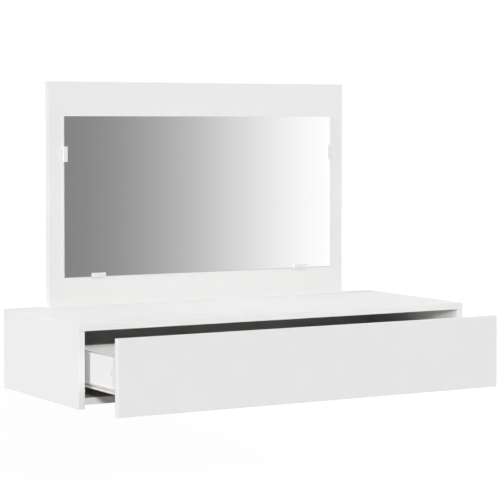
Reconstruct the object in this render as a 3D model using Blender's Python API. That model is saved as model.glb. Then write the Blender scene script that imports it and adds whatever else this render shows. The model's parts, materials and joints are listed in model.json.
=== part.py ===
"""Wall-hung dressing table: a shallow cabinet with one full-width drawer and a mirror panel on its top.

Metres, +Z up. X runs along the wall, the wall is the plane y = 0 and the drawer opens towards -Y.
The origin is the middle of the cabinet's back. The drawer stands open by DRAWER_OPEN.
"""

import math

import bmesh
import bpy
from mathutils import Matrix, Vector

MM = 0.001

# Cabinet
CABINET_WIDTH = 1000 * MM
CABINET_DEPTH = 400 * MM
CABINET_HEIGHT = 180 * MM
BOARD = 15 * MM
BOTTOM_SETBACK = 55 * MM  # finger room under the front edge
EDGE_EASE = 0.6 * MM  # chamfer along the edges of every board
SEAM = 0.3 * MM  # hairline between two pieces that meet
WALL_HOLE_RADIUS = 2.5 * MM
WALL_HOLE_INSET = 90 * MM  # from the cabinet's end
WALL_HOLE_EDGE = 40 * MM  # from the upper and lower edge of the back panel

# Mirror
PANEL_WIDTH = 800 * MM
PANEL_HEIGHT = 520 * MM
PANEL_INSET = 13 * MM  # ledge between the wall and the panel
GLASS_WIDTH = 725 * MM
GLASS_HEIGHT = 373 * MM
GLASS_THICKNESS = 4 * MM
GLASS_EASE = 0.8 * MM  # polished chamfer
GLASS_LIFT = 68 * MM  # lower edge of the glass above the table top
CLIP_LENGTH = 35.5 * MM
CLIP_LIP = 8.5 * MM  # overlap on the glass
CLIP_FOOT = 8 * MM
CLIP_WALL = 2 * MM
CLIP_INSET = 88 * MM  # middle of a clip from the corner of the glass

# Drawer
DRAWER_OPEN = 155 * MM
FRONT_GAP = 2 * MM  # joint at the ends and the upper edge of the drawer front
FRONT_LIFT = 1 * MM  # lower edge of the drawer front above that of the sides
DRAWER_BOARD = 12 * MM
DRAWER_REAR_SPACE = 20 * MM  # closed drawer to the back panel
DRAWER_SIDE_HEIGHT = 65 * MM
DRAWER_BACK_DROP = 9.5 * MM  # upper edge of the drawer back under that of the drawer sides
DRAWER_LIFT = 54.5 * MM  # lower edge of the drawer sides above that of the cabinet
DRAWER_BOTTOM_THICKNESS = 3 * MM
GROOVE_LIFT = 5.5 * MM  # drawer bottom above the lower edge of the drawer sides
GROOVE_DEPTH = 6 * MM

# Roller runners
RUNNER_GAP = 12.5 * MM  # between a drawer side and the cabinet side
RAIL_STEEL = 1.2 * MM
RAIL_SETBACK = 20 * MM  # behind the cabinet's front
RAIL_REAR_SPACE = 15 * MM  # in front of the back panel
RAIL_FOOT_SHORT = 2 * MM  # inner edge of the drawer rail short of the drawer side
RAIL_LIP_GAP = 0.6 * MM  # lower edge of the drawer rail's lip over the pin heads
RAIL_LIP_CLEARANCE = 2 * MM  # between the drawer rail's lip and the cabinet rail's web
RAIL_HOLD_GAP = 2.8 * MM  # drawer rail to the hold-down flange
RAIL_HOLD_REACH = 9 * MM
TRACK_LIP = 2 * MM
ROLLER_RADIUS = 9 * MM
ROLLER_CLEARANCE = 0.15 * MM  # roller to its tracks
ROLLER_SIDE_GAP = 0.4 * MM
ROLLER_CHAMFER = 0.8 * MM
ROLLER_END = 15 * MM  # roller axis from the end of its rail
PIN_RADIUS = 1.9 * MM
PIN_CLEARANCE = 0.2 * MM
PIN_HEAD_RIM = 0.7 * MM
PIN_HEAD = 0.8 * MM
TAB_DROP = 5 * MM  # roller tab below the roller axis
TAB_LENGTH = 16 * MM
STOP_HEIGHT = 3 * MM
ROLLER_HOLD = 55 * MM  # between the roller axes with the drawer at its front stop

# Fittings
BORE_CLEARANCE = 0.2 * MM  # hole radius over shank radius
CUT_PAST = 8 * MM  # how far a cut starts or ends outside the face that it enters
DOWEL_RADIUS = 4 * MM
DOWEL_LENGTH = 30 * MM
DOWEL_SHORT_END = 10 * MM  # length in the face of a board
DOWEL_CHAMFER = 1 * MM
CAM_EDGE = 34 * MM  # cam axis from the joined edge
CABINET_CAM_RADIUS = 7.5 * MM
CABINET_CAM_DEPTH = 12 * MM
DRAWER_CAM_RADIUS = 6 * MM
DRAWER_CAM_DEPTH = 9.5 * MM
CAM_SLOT_WIDTH = 1.6 * MM
CAM_SLOT_DEPTH = 1.2 * MM
BOLT_RADIUS = 2.2 * MM
BOLT_NECK_RADIUS = 1.8 * MM
BOLT_HEAD_RADIUS = 2.8 * MM
BOLT_HEAD = 3 * MM
BOLT_THREAD = 10 * MM  # length screwed into the joined board
SIDE_CAM_INSET = 60 * MM  # from the front edge of a side
SIDE_DOWEL_INSET = 60 * MM  # from the back panel
BOTTOM_DOWEL_INSET = 45 * MM  # from both edges of the bottom panel
PANEL_SCREW_INSET = 80 * MM  # from the panel's end
SCREW_RADIUS = 1.6 * MM
SCREW_HEAD_RADIUS = 3.2 * MM
SCREW_CROWN_RADIUS = 2.2 * MM
SCREW_HEAD = 1.4 * MM
SCREW_LENGTH = 10 * MM
PANEL_SCREW_LENGTH = 45 * MM
RAIL_SCREW_INSET = 70 * MM  # from the ends of a rail
RAIL_SCREW_HEIGHT = 6 * MM  # above the roller axis
BACK_SCREW_LENGTH = 28 * MM
ROUND_STEPS = 20
FINE_STEPS = 12
SHARP_ANGLE = math.radians(35)
MERGE_DISTANCE = 0.001 * MM

# Places that several pieces share
BASE = -CABINET_HEIGHT / 2
TABLE_TOP = CABINET_HEIGHT / 2
UNDER_TOP = TABLE_TOP - BOARD
FRONT = -CABINET_DEPTH
INSIDE = CABINET_WIDTH / 2 - BOARD
PANEL_FACE = -PANEL_INSET - BOARD
PANEL_MIDDLE = -PANEL_INSET - BOARD / 2
GLASS_BACK = PANEL_FACE - SEAM
GLASS_FRONT = GLASS_BACK - GLASS_THICKNESS
GLASS_LOW = TABLE_TOP + GLASS_LIFT
GLASS_HIGH = GLASS_LOW + GLASS_HEIGHT
CLIP_FACE = GLASS_FRONT - SEAM - CLIP_WALL
DRAWER_FACE = FRONT - DRAWER_OPEN
DRAWER_START = DRAWER_FACE + BOARD
DRAWER_END = -BOARD - DRAWER_REAR_SPACE - DRAWER_OPEN
DRAWER_LOW = BASE + DRAWER_LIFT
DRAWER_HIGH = DRAWER_LOW + DRAWER_SIDE_HEIGHT
DRAWER_OUTER = INSIDE - RUNNER_GAP
DRAWER_INNER = DRAWER_OUTER - DRAWER_BOARD
DRAWER_FLOOR = DRAWER_LOW + GROOVE_LIFT
DRAWER_CAM_HEIGHT = DRAWER_LOW + DRAWER_SIDE_HEIGHT / 2
RAIL_TOP = DRAWER_LOW - SEAM
RAIL_UNDER = RAIL_TOP - RAIL_STEEL
ROLLER_AXIS = RAIL_UNDER - ROLLER_CLEARANCE - ROLLER_RADIUS
TRACK_TOP = ROLLER_AXIS - ROLLER_RADIUS - ROLLER_CLEARANCE
RAIL_FRONT = FRONT + RAIL_SETBACK
RAIL_REAR = -BOARD - RAIL_REAR_SPACE
WEB_FACE = SEAM + RAIL_STEEL  # distances from the inner face of a cabinet side
LIP_OUTER = WEB_FACE + RAIL_LIP_CLEARANCE
LIP_INNER = LIP_OUTER + RAIL_STEEL
TAB_OUTER = RUNNER_GAP - RAIL_STEEL
ROLLER_OUTER = LIP_INNER + ROLLER_SIDE_GAP
ROLLER_INNER = TAB_OUTER - ROLLER_SIDE_GAP
FRONT_ROLLER = RAIL_FRONT + ROLLER_END
REAR_ROLLER = DRAWER_END - ROLLER_END
CLOSED_ROLLER = REAR_ROLLER + DRAWER_OPEN
PIN_HEAD_RADIUS = PIN_RADIUS + PIN_HEAD_RIM
ROLLER_BORE_RADIUS = PIN_RADIUS + PIN_CLEARANCE

X_AXIS = Vector((1, 0, 0))
Y_AXIS = Vector((0, 1, 0))
Z_AXIS = Vector((0, 0, 1))
SIDES = (("left", -1), ("right", 1))


def paint(name, colour, roughness, metallic=0.0):
    """A plain material of one colour."""
    material = bpy.data.materials.new(name)
    material.use_nodes = True
    shader = material.node_tree.nodes["Principled BSDF"]
    shader.inputs["Base Color"].default_value = (*colour, 1.0)
    shader.inputs["Roughness"].default_value = roughness
    shader.inputs["Metallic"].default_value = metallic
    material.diffuse_color = (*colour, 1.0)
    return material


def turn_to(direction, origin):
    """A placement at origin with its own +Z along the direction."""
    turn = Vector(direction).to_track_quat("Z", "Y")
    return Matrix.LocRotScale(origin, turn, None)


def add_solid(name, shape, material, place):
    """Closes a modelled shape into a named object with its faces turned out."""
    bmesh.ops.recalc_face_normals(shape, faces=shape.faces)
    mesh = bpy.data.meshes.new(name)
    shape.to_mesh(mesh)
    shape.free()
    solid = bpy.data.objects.new(name, mesh)
    bpy.context.scene.collection.objects.link(solid)
    solid.matrix_world = place
    if material:
        mesh.materials.append(material)
    return solid


def ease(solid, width):
    """Takes the sharp edge off a piece."""
    bevel = solid.modifiers.new("eased edges", "BEVEL")
    bevel.width = width
    bevel.segments = 1
    bevel.limit_method = "ANGLE"


def block(name, low, high, material=None):
    """A box between two corners, with its origin in its middle."""
    low, high = Vector(low), Vector(high)
    shape = bmesh.new()
    bmesh.ops.create_cube(shape, size=1.0, matrix=Matrix.Diagonal((*(high - low), 1.0)))
    return add_solid(name, shape, material, Matrix.Translation((low + high) / 2))


def board(name, low, high, material):
    """A board with eased edges."""
    solid = block(name, low, high, material)
    ease(solid, EDGE_EASE)
    return solid


def turned(name, profile, origin, direction, material=None, steps=FINE_STEPS, hollow=False):
    """A round piece spun from (radius, height) points, its axis along the direction."""
    shape = bmesh.new()
    points = [shape.verts.new((radius, 0, height)) for radius, height in profile]
    pairs = list(zip(points, points[1:]))
    if hollow:
        pairs.append((points[-1], points[0]))
    lines = [shape.edges.new(pair) for pair in pairs]
    bmesh.ops.spin(
        shape, geom=points + lines, cent=(0, 0, 0), axis=Z_AXIS, angle=math.tau, steps=steps, use_merge=True
    )
    bmesh.ops.remove_doubles(shape, verts=shape.verts, dist=MERGE_DISTANCE)
    solid = add_solid(name, shape, material, turn_to(direction, origin))
    solid.data.shade_smooth()
    solid.data.set_sharp_from_angle(angle=SHARP_ANGLE)
    return solid


def extruded(name, corners, along, material):
    """A flat outline drawn out along a vector."""
    shape = bmesh.new()
    face = shape.faces.new([shape.verts.new(corner) for corner in corners])
    drawn = bmesh.ops.extrude_face_region(shape, geom=[face])["geom"]
    moved = [item for item in drawn if isinstance(item, bmesh.types.BMVert)]
    bmesh.ops.translate(shape, verts=moved, vec=along)
    return add_solid(name, shape, material, Matrix())


def rolled(name, outline, side, start, end, material):
    """A rolled steel profile along Y; the outline gives distance from the cabinet side and height."""
    corners = [(side * (INSIDE - away), start, height) for away, height in outline]
    return extruded(name, corners, Y_AXIS * (end - start), material)


def combine(solid, tool, operation):
    """Adds or takes away a hidden helper shape."""
    tool.hide_render = True
    tool.display_type = "WIRE"
    change = solid.modifiers.new(tool.name, "BOOLEAN")
    change.operation = operation
    change.solver = "EXACT"
    change.object = tool


def bore(solid, origin, direction, radius, depth, steps=FINE_STEPS):
    """A round hole that starts at a point of a face and runs along the direction."""
    direction = Vector(direction)
    profile = [(0, -CUT_PAST), (radius, -CUT_PAST), (radius, depth), (0, depth)]
    tool = turned(solid.name + "_bore", profile, Vector(origin), direction, steps=steps)
    combine(solid, tool, "DIFFERENCE")


def recess(solid, low, high):
    """A square-cut groove or notch."""
    combine(solid, block(solid.name + "_recess", low, high), "DIFFERENCE")


def dowel(name, first, second, origin, direction, material):
    """A dowel glued into the face of the first board and the edge of the second."""
    direction = Vector(direction)
    start, end = -DOWEL_SHORT_END, DOWEL_LENGTH - DOWEL_SHORT_END
    inner = DOWEL_RADIUS - DOWEL_CHAMFER
    profile = [(0, start), (inner, start), (DOWEL_RADIUS, start + DOWEL_CHAMFER)]
    profile += [(DOWEL_RADIUS, end - DOWEL_CHAMFER), (inner, end), (0, end)]
    turned(name, profile, origin, direction, material)
    hole = DOWEL_RADIUS + BORE_CLEARANCE
    bore(first, origin, -direction, hole, DOWEL_SHORT_END + SEAM)
    bore(second, origin, direction, hole, end + SEAM)


def screw(name, origin, direction, length, material):
    """A pan-head screw; the origin is the seat of its head."""
    profile = [(0, -SCREW_HEAD), (SCREW_CROWN_RADIUS, -SCREW_HEAD), (SCREW_HEAD_RADIUS, -SCREW_HEAD / 2)]
    profile += [(SCREW_HEAD_RADIUS, 0), (SCREW_RADIUS, 0), (SCREW_RADIUS, length - SCREW_RADIUS)]
    profile += [(0, length)]
    turned(name, profile, origin, direction, material)


def cam_joint(name, holder, joined, face, outward, towards, middle, radius, depth, material):
    """A cam lock in a board's face, drawing the head of a bolt that is screwed into the joined board.

    The face point lies over the cam's axis; middle is the depth of the bolt's axis under that face.
    """
    face, outward, towards = Vector(face), Vector(outward), Vector(towards)
    across = outward.cross(towards)
    axis = face - outward * middle
    rim = radius - BORE_CLEARANCE
    bore(holder, face, -outward, radius, depth, ROUND_STEPS)
    profile = [(0, -depth + SEAM), (rim, -depth + SEAM), (rim, 0), (0, 0)]
    cam = turned(name, profile, face, outward, material, ROUND_STEPS)
    half = BOLT_HEAD_RADIUS + SEAM
    far = axis - towards * half - across * half - outward * depth
    near = axis + towards * 2 * radius + across * half + outward * half
    recess(cam, far, near)
    slot = across * (rim / 2) + towards * (CAM_SLOT_WIDTH / 2) + outward * CAM_SLOT_DEPTH
    recess(cam, face - slot, face + slot)
    edge = axis + towards * CAM_EDGE
    shank = BOLT_RADIUS + BORE_CLEARANCE
    bore(holder, edge, -towards, BOLT_HEAD_RADIUS + BORE_CLEARANCE, CAM_EDGE - radius / 2)
    bore(joined, edge + towards * SEAM, towards, shank, BOLT_THREAD + SEAM)
    low, neck = -BOLT_HEAD / 2, BOLT_HEAD / 2
    end = CAM_EDGE + BOLT_THREAD
    profile = [(0, low), (BOLT_HEAD_RADIUS, low), (BOLT_HEAD_RADIUS, neck)]
    profile += [(BOLT_NECK_RADIUS, neck + BOLT_HEAD), (BOLT_NECK_RADIUS, CAM_EDGE / 2)]
    profile += [(BOLT_RADIUS, CAM_EDGE / 2), (BOLT_RADIUS, end), (0, end)]
    turned(name + "_bolt", profile, axis, towards, material)


def build_carcass(white, beech, zinc):
    """Top, sides, bottom and back, with the cams and dowels that join them."""
    half = CABINET_WIDTH / 2
    top = board("top_panel", (-half, FRONT, UNDER_TOP), (half, 0, TABLE_TOP), white)
    shelf = INSIDE - SEAM
    bottom_front = FRONT + BOTTOM_SETBACK
    bottom_rear = -BOARD - SEAM
    bottom = board("bottom_panel", (-shelf, bottom_front, BASE), (shelf, bottom_rear, BASE + BOARD), white)
    back = board("back_panel", (-shelf, -BOARD, BASE), (shelf, 0, UNDER_TOP - SEAM), white)
    for name, side in SIDES:
        outer, inner = side * half, side * INSIDE
        low = (min(outer, inner), FRONT, BASE)
        high = (max(outer, inner), 0, UNDER_TOP - SEAM)
        panel = board(name + "_side_panel", low, high, white)
        cam = (inner, FRONT + SIDE_CAM_INSET, UNDER_TOP - SEAM - CAM_EDGE)
        cam_joint(
            name + "_side_cam", panel, top, cam, (-side, 0, 0), Z_AXIS, BOARD / 2,
            CABINET_CAM_RADIUS, CABINET_CAM_DEPTH, zinc
        )
        seat = Vector((side * (half - BOARD / 2), -BOARD - SIDE_DOWEL_INSET, UNDER_TOP))
        dowel(name + "_side_dowel", top, panel, seat, -Z_AXIS, beech)
        near, far = bottom_front + BOTTOM_DOWEL_INSET, bottom_rear - BOTTOM_DOWEL_INSET
        for end, y in (("front", near), ("rear", far)):
            seat = Vector((inner, y, BASE + BOARD / 2))
            dowel(f"{name}_bottom_dowel_{end}", panel, bottom, seat, (-side, 0, 0), beech)
        dowel(name + "_back_dowel", panel, back, Vector((inner, -BOARD / 2, 0)), (-side, 0, 0), beech)
        for z in (BASE + WALL_HOLE_EDGE, UNDER_TOP - WALL_HOLE_EDGE):
            wall_spot = (side * (half - WALL_HOLE_INSET), 0, z)
            bore(back, wall_spot, -Y_AXIS, WALL_HOLE_RADIUS, BOARD + CUT_PAST)
    return top


def build_mirror(top, white, silver, plastic, zinc, lacquer):
    """The panel on the table top, the glass on its face and the clips round the glass."""
    half = PANEL_WIDTH / 2
    foot = TABLE_TOP + SEAM
    panel_low = (-half, PANEL_FACE, foot)
    panel = board("mirror_panel", panel_low, (half, -PANEL_INSET, foot + PANEL_HEIGHT), white)
    edge = GLASS_WIDTH / 2
    glass = block("mirror_glass", (-edge, GLASS_FRONT, GLASS_LOW), (edge, GLASS_BACK, GLASS_HIGH), silver)
    ease(glass, GLASS_EASE)
    for name, side in SIDES:
        head = Vector((side * (half - PANEL_SCREW_INSET), PANEL_MIDDLE, UNDER_TOP - SEAM))
        screw(name + "_panel_screw", head, Z_AXIS, PANEL_SCREW_LENGTH, zinc)
        hole = SCREW_RADIUS + BORE_CLEARANCE
        bore(top, head, Z_AXIS, hole, BOARD + CUT_PAST)
        bore(panel, (head.x, head.y, foot), Z_AXIS, hole, PANEL_SCREW_LENGTH - BOARD)
        low_spot = Vector((side * (edge - CLIP_INSET), PANEL_FACE, GLASS_LOW))
        side_spot = Vector((side * edge, PANEL_FACE, GLASS_HIGH - CLIP_INSET))
        build_clip("bottom_clip_" + name, panel, low_spot, -Z_AXIS, plastic, lacquer)
        build_clip("side_clip_" + name, panel, side_spot, X_AXIS * side, plastic, lacquer)


def build_clip(name, panel, spot, away, plastic, lacquer):
    """An L-shaped clip: its foot is screwed to the panel and its lip laps over the edge of the glass."""
    along = Y_AXIS.cross(away)
    seat = PANEL_FACE - SEAM
    outline = ((SEAM, seat), (CLIP_FOOT, seat), (CLIP_FOOT, CLIP_FACE), (-CLIP_LIP, CLIP_FACE))
    outline += ((-CLIP_LIP, GLASS_FRONT - SEAM), (SEAM, GLASS_FRONT - SEAM))
    start = spot - along * (CLIP_LENGTH / 2) - Y_AXIS * PANEL_FACE
    corners = [start + away * out + Y_AXIS * y for out, y in outline]
    clip = extruded(name, corners, along * CLIP_LENGTH, plastic)
    ease(clip, EDGE_EASE)
    middle = spot + away * (CLIP_FOOT + SEAM) / 2
    head = Vector((middle.x, CLIP_FACE - SEAM, middle.z))
    hole = SCREW_RADIUS + BORE_CLEARANCE
    bore(clip, head, Y_AXIS, hole, PANEL_FACE - CLIP_FACE + CUT_PAST)
    length = PANEL_FACE - CLIP_FACE + SCREW_LENGTH
    screw(name + "_screw", head, Y_AXIS, length, lacquer)
    bore(panel, (middle.x, PANEL_FACE, middle.z), Y_AXIS, hole, SCREW_LENGTH + SEAM)


def build_drawer(white, hardboard, zinc):
    """Front, sides, back and bottom of the drawer, with the cams and screws that join them."""
    front_half = INSIDE - FRONT_GAP
    front_low = (-front_half, DRAWER_FACE, BASE + FRONT_LIFT)
    front = board("drawer_front", front_low, (front_half, DRAWER_START, UNDER_TOP - FRONT_GAP), white)
    start = DRAWER_START + SEAM
    floor_top = DRAWER_FLOOR + DRAWER_BOTTOM_THICKNESS
    back_half = DRAWER_INNER - SEAM
    back_start = DRAWER_END - DRAWER_BOARD
    back_high = DRAWER_HIGH - DRAWER_BACK_DROP
    back_low = (-back_half, back_start, floor_top + SEAM)
    back = board("drawer_back", back_low, (back_half, DRAWER_END, back_high), white)
    reach = DRAWER_INNER + GROOVE_DEPTH
    floor_half = reach - SEAM
    floor_low = (-floor_half, DRAWER_START - GROOVE_DEPTH + SEAM, DRAWER_FLOOR)
    block("drawer_bottom", floor_low, (floor_half, DRAWER_END, floor_top), hardboard)
    groove_low, groove_high = DRAWER_FLOOR - SEAM, floor_top + SEAM
    groove_corner = (-reach, DRAWER_START - GROOVE_DEPTH, groove_low)
    recess(front, groove_corner, (reach, DRAWER_START + CUT_PAST, groove_high))
    for name, side in SIDES:
        outer, inner = side * DRAWER_OUTER, side * DRAWER_INNER
        low = (min(outer, inner), start, DRAWER_LOW)
        high = (max(outer, inner), DRAWER_END, DRAWER_HIGH)
        panel = board(f"drawer_{name}_side", low, high, white)
        groove = sorted((side * reach, side * (DRAWER_INNER - CUT_PAST)))
        groove_corner = (groove[0], start - CUT_PAST, groove_low)
        recess(panel, groove_corner, (groove[1], DRAWER_END + CUT_PAST, groove_high))
        cam = (outer, start + CAM_EDGE, DRAWER_CAM_HEIGHT)
        cam_joint(
            f"drawer_{name}_cam", panel, front, cam, (side, 0, 0), -Y_AXIS, DRAWER_BOARD / 2,
            DRAWER_CAM_RADIUS, DRAWER_CAM_DEPTH, zinc
        )
        middle = DRAWER_END - DRAWER_BOARD / 2
        head = Vector((side * (DRAWER_OUTER + SEAM), middle, (floor_top + back_high) / 2))
        screw(f"drawer_{name}_back_screw", head, (-side, 0, 0), BACK_SCREW_LENGTH, zinc)
        hole = SCREW_RADIUS + BORE_CLEARANCE
        bore(panel, head, (-side, 0, 0), hole, DRAWER_BOARD + CUT_PAST)
        end_spot = (side * back_half, head.y, head.z)
        bore(back, end_spot, (-side, 0, 0), hole, BACK_SCREW_LENGTH - DRAWER_BOARD)


def build_drawer_rail(name, side, enamel, nylon, zinc):
    """The rail under a drawer side: a flange with a turned-down lip and a tab for the rear roller."""
    lip_low = ROLLER_AXIS + PIN_HEAD_RADIUS + RAIL_LIP_GAP
    inner_edge = RUNNER_GAP + DRAWER_BOARD - RAIL_FOOT_SHORT
    outline = ((LIP_OUTER, lip_low), (LIP_INNER, lip_low), (LIP_INNER, RAIL_UNDER))
    outline += ((inner_edge, RAIL_UNDER), (inner_edge, RAIL_TOP), (LIP_OUTER, RAIL_TOP))
    rail = rolled("drawer_rail_" + name, outline, side, DRAWER_START + SEAM, DRAWER_END, enamel)
    tab = sorted((side * (INSIDE - TAB_OUTER), side * DRAWER_OUTER))
    tab_low = (tab[0], REAR_ROLLER - TAB_LENGTH / 2, ROLLER_AXIS - TAB_DROP)
    tab_high = (tab[1], REAR_ROLLER + TAB_LENGTH / 2, RAIL_UNDER + RAIL_STEEL / 2)
    combine(rail, block(rail.name + "_tab", tab_low, tab_high), "UNION")
    build_roller("rear_roller_" + name, rail, side, REAR_ROLLER, RUNNER_GAP, ROLLER_OUTER, nylon, zinc)
    panel = bpy.data.objects[f"drawer_{name}_side"]
    for end, y in (("front", DRAWER_START + RAIL_SCREW_INSET), ("rear", DRAWER_END - RAIL_SCREW_INSET)):
        x = side * (DRAWER_OUTER - (DRAWER_BOARD - GROOVE_DEPTH) / 2)
        head = Vector((x, y, RAIL_UNDER - SEAM))
        screw(f"drawer_rail_{name}_screw_{end}", head, Z_AXIS, SCREW_LENGTH, zinc)
        hole = SCREW_RADIUS + BORE_CLEARANCE
        bore(rail, head, Z_AXIS, hole, 2 * RAIL_STEEL)
        bore(panel, (x, y, DRAWER_LOW), Z_AXIS, hole, SCREW_LENGTH)


def build_cabinet_rail(name, side, enamel, nylon, zinc):
    """The rail on a cabinet side: track, web and hold-down flange, with stops for the rear roller."""
    track_low = TRACK_TOP - RAIL_STEEL
    track_edge = RUNNER_GAP + SEAM
    lip_high = TRACK_TOP + TRACK_LIP
    hold_low = RAIL_TOP + RAIL_HOLD_GAP
    hold_high = hold_low + RAIL_STEEL
    lip_face = track_edge - RAIL_STEEL
    outline = ((SEAM, track_low), (track_edge, track_low), (track_edge, lip_high), (lip_face, lip_high))
    outline += ((lip_face, TRACK_TOP), (WEB_FACE, TRACK_TOP), (WEB_FACE, hold_low))
    outline += ((RAIL_HOLD_REACH, hold_low), (RAIL_HOLD_REACH, hold_high), (SEAM, hold_high))
    rail = rolled("cabinet_rail_" + name, outline, side, RAIL_FRONT, RAIL_REAR, enamel)
    offset = math.sqrt(ROLLER_RADIUS**2 - (ROLLER_RADIUS - STOP_HEIGHT) ** 2) + SEAM
    stop_edges = sorted((side * (INSIDE - ROLLER_OUTER), side * (INSIDE - ROLLER_INNER + SEAM)))
    for y in (FRONT_ROLLER + ROLLER_HOLD - offset - RAIL_STEEL, CLOSED_ROLLER + offset):
        low = (stop_edges[0], y, track_low + RAIL_STEEL / 2)
        high = (stop_edges[1], y + RAIL_STEEL, TRACK_TOP + STOP_HEIGHT)
        combine(rail, block(rail.name + "_stop", low, high), "UNION")
    build_roller("front_roller_" + name, rail, side, FRONT_ROLLER, SEAM, ROLLER_INNER, nylon, zinc)
    panel = bpy.data.objects[name + "_side_panel"]
    for end, y in (("front", RAIL_FRONT + RAIL_SCREW_INSET), ("rear", RAIL_REAR - RAIL_SCREW_INSET)):
        outward = X_AXIS * side
        seat = Vector((side * (INSIDE - WEB_FACE), y, ROLLER_AXIS + RAIL_SCREW_HEIGHT))
        head = seat - outward * BORE_CLEARANCE
        screw(f"cabinet_rail_{name}_screw_{end}", head, outward, SCREW_LENGTH, zinc)
        hole = SCREW_RADIUS + BORE_CLEARANCE
        bore(rail, seat, outward, hole, 2 * RAIL_STEEL)
        bore(panel, (side * INSIDE, seat.y, seat.z), outward, hole, SCREW_LENGTH)


def build_roller(name, rail, side, y, root, tip, nylon, zinc):
    """A roller on a riveted pin; root and tip are where the pin starts and where the roller ends."""
    origin = Vector((side * (INSIDE - (ROLLER_OUTER + ROLLER_INNER) / 2), y, ROLLER_AXIS))
    half = (ROLLER_INNER - ROLLER_OUTER) / 2
    tread = half - ROLLER_CHAMFER
    edge = ROLLER_RADIUS - ROLLER_CHAMFER
    profile = [(ROLLER_BORE_RADIUS, -half), (edge, -half), (ROLLER_RADIUS, -tread)]
    profile += [(ROLLER_RADIUS, tread), (edge, half), (ROLLER_BORE_RADIUS, half)]
    turned(name, profile, origin, X_AXIS, nylon, 2 * FINE_STEPS, hollow=True)
    inward = 1 if tip > root else -1
    start = Vector((side * (INSIDE - root), y, ROLLER_AXIS))
    head_low = abs(tip - root) + SEAM
    profile = [(0, 0), (PIN_RADIUS, 0), (PIN_RADIUS, head_low), (PIN_HEAD_RADIUS, head_low)]
    profile += [(PIN_HEAD_RADIUS, head_low + PIN_HEAD), (0, head_low + PIN_HEAD)]
    turned(name + "_pin", profile, start, X_AXIS * (-side * inward), zinc)
    reach = RAIL_STEEL + ROLLER_SIDE_GAP / 2
    bore(rail, start, X_AXIS * (-side * inward), PIN_RADIUS + BORE_CLEARANCE / 2, reach)


for leftover in list(bpy.data.objects):
    bpy.data.objects.remove(leftover, do_unlink=True)

white_board = paint("white_board", (0.84, 0.84, 0.835), 0.45)
drawer_board = paint("drawer_board", (0.83, 0.83, 0.825), 0.5)
drawer_hardboard = paint("drawer_hardboard", (0.80, 0.80, 0.79), 0.6)
mirror_silver = paint("mirror_silver", (0.90, 0.91, 0.91), 0.03, 1.0)
clip_plastic = paint("clip_plastic", (0.86, 0.86, 0.85), 0.4)
dowel_beech = paint("dowel_beech", (0.66, 0.48, 0.30), 0.7)
zinc_steel = paint("zinc_steel", (0.62, 0.62, 0.60), 0.35, 1.0)
white_lacquer = paint("white_lacquer", (0.84, 0.84, 0.83), 0.4)
rail_enamel = paint("rail_enamel", (0.80, 0.80, 0.79), 0.4)
roller_nylon = paint("roller_nylon", (0.86, 0.86, 0.84), 0.5)

table_top = build_carcass(white_board, dowel_beech, zinc_steel)
build_mirror(table_top, white_board, mirror_silver, clip_plastic, zinc_steel, white_lacquer)
build_drawer(drawer_board, drawer_hardboard, zinc_steel)
for side_name, side_sign in SIDES:
    build_cabinet_rail(side_name, side_sign, rail_enamel, roller_nylon, zinc_steel)
    build_drawer_rail(side_name, side_sign, rail_enamel, roller_nylon, zinc_steel)
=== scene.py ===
import json
import math

import bmesh
import bpy
from mathutils import Matrix, Vector


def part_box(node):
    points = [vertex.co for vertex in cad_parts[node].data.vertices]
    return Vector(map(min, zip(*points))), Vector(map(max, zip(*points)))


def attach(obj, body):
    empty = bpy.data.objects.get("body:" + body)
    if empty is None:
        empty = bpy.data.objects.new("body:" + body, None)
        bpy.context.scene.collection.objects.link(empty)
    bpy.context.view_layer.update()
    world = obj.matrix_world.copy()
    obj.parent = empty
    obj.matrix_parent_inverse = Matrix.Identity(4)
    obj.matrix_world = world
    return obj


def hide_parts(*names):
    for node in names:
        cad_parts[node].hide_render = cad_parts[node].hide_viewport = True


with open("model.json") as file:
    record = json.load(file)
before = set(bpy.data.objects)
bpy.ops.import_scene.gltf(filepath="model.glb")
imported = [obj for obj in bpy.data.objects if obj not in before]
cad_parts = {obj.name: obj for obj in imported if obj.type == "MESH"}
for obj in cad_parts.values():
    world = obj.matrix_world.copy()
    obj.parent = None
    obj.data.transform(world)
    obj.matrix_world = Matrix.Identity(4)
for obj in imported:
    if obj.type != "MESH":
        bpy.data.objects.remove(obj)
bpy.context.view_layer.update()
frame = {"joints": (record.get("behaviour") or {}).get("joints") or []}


# Side panels: two uprights of 15 mm chipboard, faced with white melamine on both sides. Thin white
# bands are glued to the edges that show, the upper edge stays raw under the top panel, and each panel
# is bored for its fittings.
MM = 0.001
X, Y, Z = 0, 1, 2
LEFT, RIGHT, FRONT, REAR, DOWN, UP = (X, -1), (X, 1), (Y, -1), (Y, 1), (Z, -1), (Z, 1)
HANDS = {"left": -1, "right": 1}
ENDS = ("front", "rear")
LEVEL_DOWELS = ("back_dowel", "bottom_dowel_front", "bottom_dowel_rear")
BAND = 0.8 * MM
GLUE = 0.1 * MM
EASE = 0.5 * MM
TOUCH = 0.02 * MM
DOWEL_HOLE = 4.1 * MM
SCREW_HOLE = 1.8 * MM
BOLT_HOLE = 3 * MM
CAM_HOLE = 7.6 * MM
HOLE_ROOM = 0.6 * MM
HOLE_SIDES = 32
TONE_SPAN = (0.3, 0.7)
ALONG = ((0, math.pi / 2, 0), (math.pi / 2, 0, 0), (0, 0, 0))


def new_finish(name, metallic=0.0):
    """A new surface finish and its shader."""
    finish = bpy.data.materials.new(name)
    finish.use_nodes = True
    shader = finish.node_tree.nodes["Principled BSDF"]
    shader.inputs["Metallic"].default_value = metallic
    return finish, shader


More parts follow.
